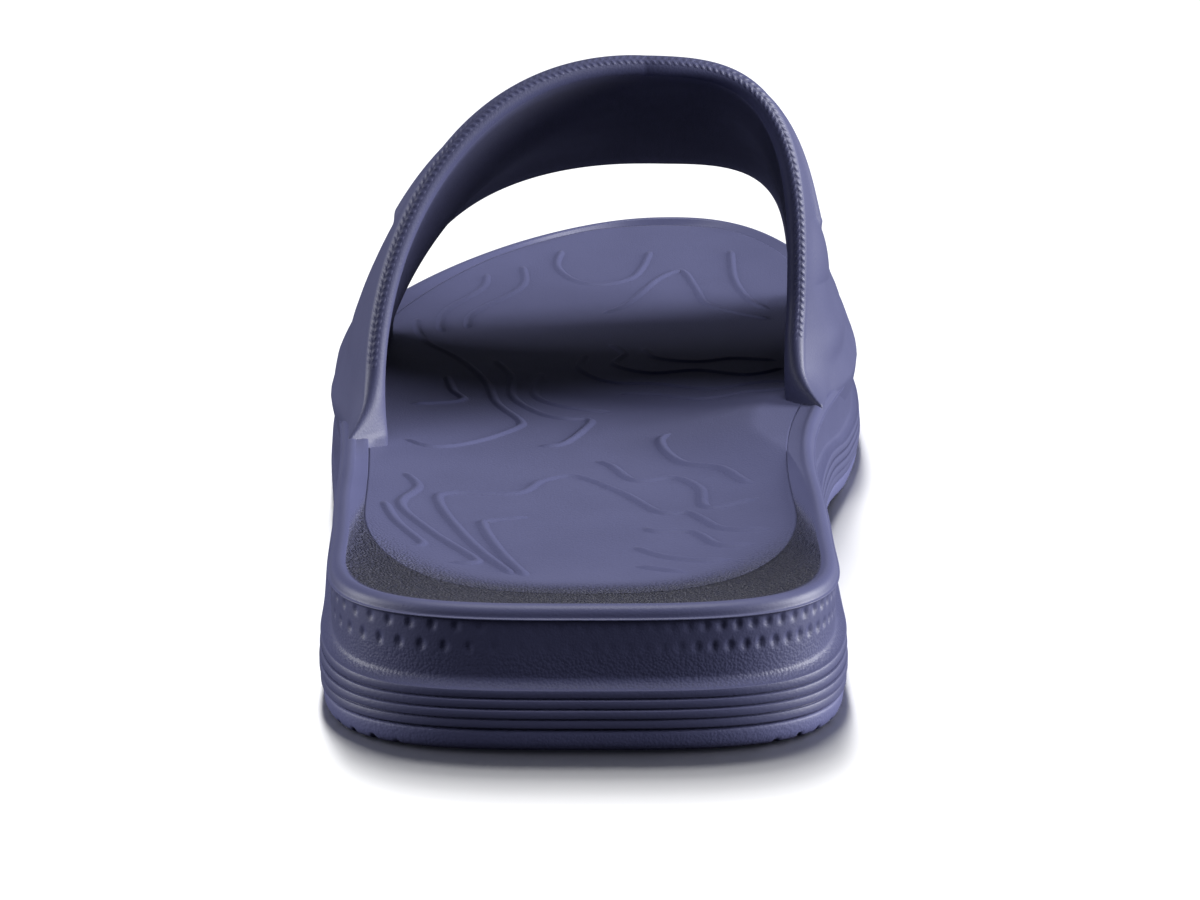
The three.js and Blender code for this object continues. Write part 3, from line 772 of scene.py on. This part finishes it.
def foot_ridges(point):
    """How far the folds beside each foot of the strap stand out, just above the rim."""
    y = point[..., 1]
    above = point[..., 2] - rim_top(y)
    ahead = smooth(130, 150, y)
    medial = smooth(-10, 10, point[..., 0])
    groove = long_fold(LOW_GROOVE, above) * (0.3 + 0.7 * medial)
    second = long_fold(HIGH_RIDGE, above) * medial
    bulge = short_fold(LATERAL_BULGE, above, y)
    waist = short_fold(LATERAL_WAIST, above, y)
    return ahead * (second - groove) + (1 - medial) * (bulge - waist)


def strap_rise(around, along, w):
    """How far the outside stands proud of the arch: the raised panel less the thin rear edge."""
    over = smooth(PANEL_FROM - PANEL_RAMP, PANEL_FROM, around) * (
        1 - smooth(PANEL_TO, PANEL_TO + PANEL_RAMP, around)
    )
    band = smooth(*PANEL_REAR, along) * (1 - smooth(*PANEL_FRONT, along))
    wing = np.clip((around - PANEL_TO) / (WING_TO - PANEL_TO), 0, 1)
    bump = np.sin(wing * math.pi) ** 0.7 * smooth(2, 9, w) * (1 - smooth(0.7, 0.9, along))
    return PANEL_RISE * (over * band + 0.8 * bump) - edge_taper(around, w)


STRAP_COLUMNS = 560
REAR_ROWS = (0, 0.5, 1.0, 1.7, 2.6, 3.6, 4.8, 6.5)  # millimetres from the rear edge
OUTER_ROWS = (
    *(0.03, 0.05, 0.066, 0.076, 0.086, 0.096, 0.11, 0.14, 0.19, 0.25, 0.32, 0.4, 0.48, 0.56),
    *(0.64, 0.72, 0.79, 0.835, 0.853, 0.86, 0.867, 0.874, 0.881, 0.9, 0.94, 0.98, 1.0),
)  # shares of the rest of the breadth


def strap_columns():
    """Shares around the arch, evenly spaced along the rear edge."""
    around = np.linspace(0, 1, 3001)
    points = arch_point(around, rear_edge(around))
    steps = np.linalg.norm(np.diff(points, axis=0), axis=1)
    length = np.concatenate([[0], np.cumsum(steps)])
    return np.interp(np.linspace(0, length[-1], STRAP_COLUMNS), length, around)


def strap_rows():
    """The section as a list of (w, share of the rest, reach, level), once round."""
    last = REAR_ROWS[-1]
    rows = [(w, 0.0, 0.0, 1.0) for w in REAR_ROWS]
    rows += [(last, share, 0.0, 1.0) for share in OUTER_ROWS]
    for turn in np.linspace(0, math.pi, 11)[1:-1]:
        rows.append((last, 1.0, 0.5 * math.sin(turn), math.cos(turn)))
    for share in np.linspace(1, 0, 14):
        rows.append((last * (1 if share > 0 else 0.9), share, 0.0, -1.0))
    rows.append((0.0, 0.0, 0.0, -1.0))
    for turn in np.linspace(0, math.pi, 17)[1:-1]:
        rows.append(rear_roll(turn))
    return rows


def rear_roll(turn):
    """A row of the rolled rear edge: turn is 0 on its inner side and pi on its outer side."""
    return (0.0, 0.0, -0.5 * math.sin(turn), -math.cos(turn))


def strap_ring(around, row):
    """One row of points around the arch, and the outward direction of the section there."""
    w0, share, reach, level = row
    wall = wall_at(around)
    rear = rear_edge(around)
    breadth = front_edge(around) - rear
    w = w0 + share * (breadth - w0)
    round_wall = np.where(reach < 0, STRAP_EDGE_WALL, wall)
    y = rear + w + reach * round_wall
    point = arch_point(around, y)
    normal = arch_normal(around, y)
    rise = strap_rise(around, w / breadth, w) + foot_ridges(point)
    depth = -rise + (1 - level) / 2 * (wall + rise)
    out = normal * level
    out[..., 1] += 2 * reach
    return point - normal * depth[..., None], out / np.linalg.norm(out, axis=-1)[..., None]


def sole_top(point):
    """Height of the sole's upper surface, bead and all, near the feet of the strap."""
    x, y = point[..., 0], point[..., 1]
    from_middle = x - centre_x(y)
    edge = half_width(y) - np.abs(from_middle)
    lip_x = centre_x(y) + np.sign(from_middle) * (half_width(y) - FOOTBED_SIDE_INSET)
    slope = smooth(BEAD_CREST, FOOTBED_SIDE_INSET, edge)
    shoulder = rim_top(y) + (footbed_top(lip_x, y) - rim_top(y)) * slope
    return np.where(edge < FOOTBED_SIDE_INSET, shoulder, footbed_top(x, y))


def foot_skirt(base, levels, behind, turn):
    """Rings below a foot: its outside runs out on the bead and the wall, its rear on the cup."""
    outside = smooth(-0.6, 0.5, levels)
    rear = outside * np.clip(1 - behind / FILLET_DEPTH, 0, 1)
    rings = []
    for t in SKIRT_STEPS:
        ring = base.copy()
        ring[:, 1] -= rear * SKIRT_REACH * (1 - (1 - t) ** 2)
        low = sole_top(ring) - SKIRT_SINK
        over = np.maximum(0, base[:, 2] - low)
        landed = low + over * (1 - t) ** 2
        hidden = base[:, 2] - SKIRT_DROP * t
        on_wall = smooth(*SKIRT_WALL, behind) * outside
        ring[:, 2] = np.where(base[:, 2] > low, landed, hidden) * (1 - on_wall) + hidden * on_wall
        tuck = np.where(base[:, 2] > low, 0, SKIRT_SPREAD * t) * (1 - on_wall)
        tuck = tuck + SKIRT_TUCK * t**1.5 * on_wall
        ring[:, 0] += turn * outside * tuck
        rings.append(ring)
    last = rings[-1].copy()
    last[:, 0] += turn * outside * SKIRT_END[0]
    last[:, 2] -= SKIRT_END[1]
    rings.append(last)
    return np.array(rings)


def blend_feet(grid, levels, behind):
    """Runs the strap's outside out to the bead near its feet, and back at its rear edge."""
    outside = (1 + levels) / 2
    above = grid[..., 2] - rim_top(grid[..., 1])
    near = np.clip(1 - above / FLARE_HEIGHT, 0, 1) ** 2
    from_middle = grid[..., 0] - centre_x(grid[..., 1])
    inset = half_width(grid[..., 1]) - np.abs(from_middle)
    out = near * np.clip(inset - BEAD_CREST, 0, FLARE_MOST) * outside
    grid[..., 0] += np.sign(from_middle) * out
    back = np.clip(1 - above / FILLET_HEIGHT, 0, 1) ** 2
    grid[..., 1] -= FILLET_REACH * back * np.clip(1 - behind / FILLET_DEPTH, 0, 1) * outside


def make_strap():
    around = strap_columns()
    rows = strap_rows()
    grid = np.array([strap_ring(around, row)[0] for row in rows]).transpose(1, 0, 2)
    levels = np.array([row[3] for row in rows])
    behind = np.array([row[0] + row[1] * 60 for row in rows])
    blend_feet(grid, levels, behind)
    lateral = foot_skirt(grid[0], levels, behind, 1)
    medial = foot_skirt(grid[-1], levels, behind, -1)
    grid = np.concatenate([lateral[::-1], grid, medial])
    quads = grid_quads(grid.shape[0], grid.shape[1], True)[:, ::-1]
    grain = np.full(grid.shape[:2], 0.03)
    # Painted shade on the strap's inner face, under the arch and away from its rear edge
    inner = smooth(-0.9, -1.0, levels) * smooth(1, 7, behind)
    shade = np.broadcast_to(INNER_PAINTED_SHADE * inner, grid.shape[:2])
    masks = {"grain": grain, "shade": shade}
    return make_mesh("strap_skin", grid.reshape(-1, 3), quads, masks)


BRAID_PITCH = 1.3
BRAID_HEIGHT = 0.15
BRAID_TURNS = (1.4, 2.6)  # where the braid lies on the rolled edge
BRAID_FADE = (2, 5)  # from each end, where it starts and is full
BRAID_STEP = 0.16
BRAID_SINK = 0.04


def make_braid():
    """The two-row braid moulded along the outer shoulder of the strap's rear edge."""
    fine = np.linspace(0.004, 0.996, 4001)
    path = strap_ring(fine, rear_roll(sum(BRAID_TURNS) / 2))[0]
    length = np.concatenate([[0], np.cumsum(np.linalg.norm(np.diff(path, axis=0), axis=1))])
    s = np.linspace(0, length[-1], int(length[-1] / BRAID_STEP))
    around = np.interp(s, length, fine)
    fade = smooth(*BRAID_FADE, s) * smooth(*BRAID_FADE, length[-1] - s)
    rows = []
    for t in np.linspace(0, 1, 19):
        turn = BRAID_TURNS[0] + (BRAID_TURNS[1] - BRAID_TURNS[0]) * t
        point, out = strap_ring(around, rear_roll(turn))
        half = abs(2 * t - 1)
        phase = s / BRAID_PITCH - 0.5 * half + (0.5 if t > 0.5 else 0.0)
        stitch = 0.5 + 0.5 * np.cos(phase * 2 * math.pi)
        strand = math.sin(math.pi * half) ** 0.6 if 0 < half < 1 else 0.0
        lift = BRAID_HEIGHT * strand * (0.1 + 0.9 * stitch) * fade - BRAID_SINK
        rows.append(point + out * lift[:, None])
    grid = np.array(rows)[::-1]
    quads = grid_quads(grid.shape[0], grid.shape[1], False)
    return make_mesh("strap_braid", grid.reshape(-1, 3), quads, {"grain": np.zeros(grid.shape[:2])})


# Materials

NAVY = (0.05, 0.053, 0.115)
# The outsole's colour: NAVY made lighter by painted bounce light from the floor below it
OUTSOLE_NAVY_PAINTED_BOUNCE = tuple(c * 1.4 for c in NAVY)
# Colour towards which painted shade darkens the foam
PAINTED_SHADE_COLOUR = (0.003, 0.0035, 0.02)
PAINTED_SHADE_ROUGHNESS = 0.06  # added where the painted shade mask is full
MOTTLE = (0.92, 1.08)  # least and most of the colour
PIT_PAINTED_SHADE_SHARE = 0.62  # share of the colour between the pebbles: painted shade in their pits
ROUGHNESS_SPREAD = (-0.05, 0.07)
SPECULAR = 0.32
SHEEN_ROUGHNESS = 0.45
MOTTLE_SCALE = 60.0
FINE_SCALE = 2600.0
PEBBLE_SCALE = 2300.0
FINE_BUMP = 0.0001
PEBBLE_BUMP = 0.0016


def node(tree, kind, **inputs):
    made = tree.nodes.new(kind)
    for key, value in inputs.items():
        made.inputs[key.replace("_", " ")].default_value = value
    return made


def foam(name, colour, roughness, pebble, fine, sheen):
    """Moulded foam rubber: a fine grain all over, pebbles with painted shade in their pits where
    the grain mask is high, and painted shade where the shade mask is high.
    """
    material = bpy.data.materials.new(name)
    material.use_nodes = True
    tree = material.node_tree
    tree.nodes.clear()
    out = tree.nodes.new("ShaderNodeOutputMaterial")
    shader = node(tree, "ShaderNodeBsdfPrincipled")
    shader.inputs["Specular IOR Level"].default_value = SPECULAR
    shader.inputs["Sheen Weight"].default_value = sheen
    shader.inputs["Sheen Roughness"].default_value = SHEEN_ROUGHNESS
    tree.links.new(shader.outputs[0], out.inputs[0])
    place = tree.nodes.new("ShaderNodeTexCoord")
    mask = tree.nodes.new("ShaderNodeAttribute")
    mask.attribute_name = "grain"

    broad = node(tree, "ShaderNodeTexNoise", Scale=MOTTLE_SCALE, Detail=3.0, Roughness=0.55)
    small = node(tree, "ShaderNodeTexNoise", Scale=FINE_SCALE, Detail=2.0, Roughness=0.6)
    cells = node(tree, "ShaderNodeTexVoronoi", Scale=PEBBLE_SCALE, Randomness=1.0)
    cells.feature = "SMOOTH_F1"
    cells.inputs["Smoothness"].default_value = 0.35
    for texture in (broad, small, cells):
        tree.links.new(place.outputs["Object"], texture.inputs["Vector"])

    shade = tree.nodes.new("ShaderNodeMix")
    shade.data_type = "RGBA"
    shade.inputs[6].default_value = tuple(c * MOTTLE[0] for c in colour) + (1,)
    shade.inputs[7].default_value = tuple(c * MOTTLE[1] for c in colour) + (1,)
    tree.links.new(broad.outputs["Fac"], shade.inputs[0])
    # Painted shade in the pits between the pebbles, where the grain mask is high
    pit_painted_shade = tree.nodes.new("ShaderNodeMix")
    pit_painted_shade.data_type = "RGBA"
    pit_painted_shade.inputs[7].default_value = tuple(c * PIT_PAINTED_SHADE_SHARE for c in colour) + (1,)
    tree.links.new(shade.outputs[2], pit_painted_shade.inputs[6])
    deep = tree.nodes.new("ShaderNodeMath")
    deep.operation = "MULTIPLY"
    tree.links.new(mask.outputs["Fac"], deep.inputs[0])
    tree.links.new(cells.outputs["Distance"], deep.inputs[1])
    tree.links.new(deep.outputs[0], pit_painted_shade.inputs[0])
    # Painted shade: the colour darkens towards the shade colour where the shade mask is high
    painted_shade_mask = tree.nodes.new("ShaderNodeAttribute")
    painted_shade_mask.attribute_name = "shade"
    painted_shade = tree.nodes.new("ShaderNodeMix")
    painted_shade.data_type = "RGBA"
    painted_shade.inputs[7].default_value = PAINTED_SHADE_COLOUR + (1,)
    tree.links.new(painted_shade_mask.outputs["Fac"], painted_shade.inputs[0])
    tree.links.new(pit_painted_shade.outputs[2], painted_shade.inputs[6])
    tree.links.new(painted_shade.outputs[2], shader.inputs["Base Color"])

    rough = node(tree, "ShaderNodeMapRange")
    rough.inputs["To Min"].default_value = roughness + ROUGHNESS_SPREAD[0]
    rough.inputs["To Max"].default_value = roughness + ROUGHNESS_SPREAD[1]
    tree.links.new(broad.outputs["Fac"], rough.inputs["Value"])
    matte = tree.nodes.new("ShaderNodeMath")
    matte.operation = "MULTIPLY_ADD"
    matte.inputs[1].default_value = PAINTED_SHADE_ROUGHNESS
    matte.use_clamp = True
    tree.links.new(painted_shade_mask.outputs["Fac"], matte.inputs[0])
    tree.links.new(rough.outputs["Result"], matte.inputs[2])
    tree.links.new(matte.outputs[0], shader.inputs["Roughness"])

    low = node(tree, "ShaderNodeBump", Distance=FINE_BUMP, Strength=fine)
    tree.links.new(small.outputs["Fac"], low.inputs["Height"])
    strength = tree.nodes.new("ShaderNodeMath")
    strength.operation = "MULTIPLY"
    strength.inputs[1].default_value = pebble
    tree.links.new(mask.outputs["Fac"], strength.inputs[0])
    high = node(tree, "ShaderNodeBump", Distance=PEBBLE_BUMP)
    high.invert = True
    tree.links.new(strength.outputs[0], high.inputs["Strength"])
    tree.links.new(cells.outputs["Distance"], high.inputs["Height"])
    tree.links.new(low.outputs["Normal"], high.inputs["Normal"])
    tree.links.new(high.outputs["Normal"], shader.inputs["Normal"])
    return material


# name, colour, roughness, pebble bump, fine bump, sheen
sole_foam = foam("sole_foam", NAVY, 0.48, 1.0, 0.35, 0.02)
footbed_foam = foam("footbed_foam", NAVY, 0.58, 1.0, 0.8, 0.02)
strap_foam = foam("strap_foam", NAVY, 0.5, 0.8, 0.45, 0.02)
outsole_foam = foam("outsole_foam", OUTSOLE_NAVY_PAINTED_BOUNCE, 0.55, 0.6, 0.4, 0.0)

outsole_skin = make_outsole()
midsole_skin = make_midsole()
footbed_skin = make_footbed()
strap_skin = make_strap()
strap_braid = make_braid()
finish_piece(outsole_skin, outsole_foam, "outsole_foam", "outsole")
finish_piece(midsole_skin, sole_foam, "sole_foam", "midsole")
finish_piece(footbed_skin, footbed_foam, "footbed_foam", "footbed")
finish_piece(strap_skin, strap_foam, "strap_foam", "strap")
finish_piece(strap_braid, strap_foam, "strap_foam")

# Floor, light and camera

FLOOR_REACH = 6.0
FLOOR_WHITE = 0.93
SKY_STRENGTH = 0.1
SKY_LOW = (0.13, 0.135, 0.18, 1)
SKY_HIGH = (0.84, 0.87, 1.14, 1)
SKY_RISE = (-0.1, 0.15)
FLOOR_LIGHT_TILTS = (16, 26, 34, 40, 45)  # degrees from overhead, away from the camera
FLOOR_LIGHT_TURN = 5
FLOOR_LIGHT_SPREAD = 9
FLOOR_LIGHT_ENERGY = 4.6

# The sandal's lights. name, place, what it aims at, size, power, name of the pieces it reaches
LIGHTS = (
    ("over_footbed", (0.0, -0.4, 1.42), (0, 0, 0), (0.6, 0.6), 18, "bed"),
    ("over_sole", (0.0, 0.08, 1.5), (0, 0.05, 0), (0.7, 0.7), 17, "sole"),
    ("over_strap", (0.0, 0.25, 1.5), (0, 0.05, 0), (0.75, 0.75), 4, "upper"),
    ("left", (-1.1, -0.08, 0.36), (0, 0, 0.03), (0.8, 0.7), 18, "whole"),
    ("right", (1.1, -0.08, 0.36), (0, 0, 0.03), (0.8, 0.7), 41, "whole"),
)

# The camera stands behind the heel and looks a little down
CAMERA_PLACE = (0.0, -0.486, 0.135)
CAMERA_PITCH = 14.6
CAMERA_LENS = 77.31


def make_floor():
    mesh = bpy.data.meshes.new("floor")
    reach = FLOOR_REACH
    corners = [(-reach, -reach, 0), (reach, -reach, 0), (reach, reach, 0), (-reach, reach, 0)]
    mesh.from_pydata(corners, [], [(0, 1, 2, 3)])
    floor = bpy.data.objects.new("floor", mesh)
    bpy.context.scene.collection.objects.link(floor)
    material = bpy.data.materials.new("floor")
    material.use_nodes = True
    shader = material.node_tree.nodes["Principled BSDF"]
    shader.inputs["Base Color"].default_value = (FLOOR_WHITE, FLOOR_WHITE, FLOOR_WHITE, 1)
    shader.inputs["Roughness"].default_value = 0.7
    shader.inputs["Specular IOR Level"].default_value = 0.2
    mesh.materials.append(material)
    floor.visible_diffuse = False
    floor.visible_glossy = False
    return floor


def soft_light(name, place, aim, size, power, reached):
    data = bpy.data.lights.new(name, "AREA")
    data.shape = "RECTANGLE"
    data.size = size[0]
    data.size_y = size[1]
    data.energy = power
    lamp = bpy.data.objects.new(name, data)
    lamp.location = place
    away = np.array(place) - np.array(aim)
    away = away / np.linalg.norm(away)
    turn = math.atan2(away[0], -away[1])
    lamp.rotation_euler = (math.acos(away[2]), 0, turn)
    bpy.context.scene.collection.objects.link(lamp)
    lamp.light_linking.receiver_collection = reached


def receivers(name, objects):
    """A collection of the objects that a light reaches."""
    reached = bpy.data.collections.new("reached_by_" + name)
    for obj in objects:
        reached.objects.link(obj)
    return reached


def floor_lights(floor):
    """Soft light on the floor alone, so that it stays white but for a shadow behind the heel."""
    reached = receivers("floor_lights", [floor])
    for tilt in FLOOR_LIGHT_TILTS:
        data = bpy.data.lights.new("floor_light", "SUN")
        data.energy = FLOOR_LIGHT_ENERGY / len(FLOOR_LIGHT_TILTS)
        data.angle = math.radians(FLOOR_LIGHT_SPREAD)
        lamp = bpy.data.objects.new("floor_light", data)
        lamp.rotation_euler = (math.radians(-tilt), 0, math.radians(FLOOR_LIGHT_TURN))
        bpy.context.scene.collection.objects.link(lamp)
        lamp.light_linking.receiver_collection = reached


def make_world():
    world = bpy.data.worlds.new("studio")
    world.use_nodes = True
    tree = world.node_tree
    sky = tree.nodes["Background"]
    sky.inputs["Strength"].default_value = SKY_STRENGTH
    place = tree.nodes.new("ShaderNodeTexCoord")
    split = tree.nodes.new("ShaderNodeSeparateXYZ")
    rise = tree.nodes.new("ShaderNodeMapRange")
    rise.inputs["From Min"].default_value = SKY_RISE[0]
    rise.inputs["From Max"].default_value = SKY_RISE[1]
    tint = tree.nodes.new("ShaderNodeMix")
    tint.data_type = "RGBA"
    tint.inputs[6].default_value = SKY_LOW
    tint.inputs[7].default_value = SKY_HIGH
    tree.links.new(place.outputs["Generated"], split.inputs[0])
    tree.links.new(split.outputs["Z"], rise.inputs["Value"])
    tree.links.new(rise.outputs["Result"], tint.inputs[0])
    tree.links.new(tint.outputs[2], sky.inputs["Color"])
    bpy.context.scene.world = world


def make_camera():
    data = bpy.data.cameras.new("camera")
    data.sensor_width = 36.0
    data.lens = CAMERA_LENS
    camera = bpy.data.objects.new("camera", data)
    camera.location = CAMERA_PLACE
    camera.rotation_euler = (math.radians(90 - CAMERA_PITCH), 0, 0)
    bpy.context.scene.collection.objects.link(camera)
    bpy.context.scene.camera = camera


floor_lights(make_floor())
make_world()
lit = {
    "bed": receivers("footbed_light", [footbed_skin]),
    "sole": receivers("sole_light", [outsole_skin, midsole_skin]),
    "upper": receivers("strap_light", [strap_skin, strap_braid]),
    "whole": receivers(
        "side_lights", [outsole_skin, midsole_skin, footbed_skin, strap_skin, strap_braid]
    ),
}
for name, place, aim, size, power, reached in LIGHTS:
    soft_light(name, place, aim, size, power, lit[reached])
make_camera()
bpy.context.scene.view_settings.view_transform = "Standard"
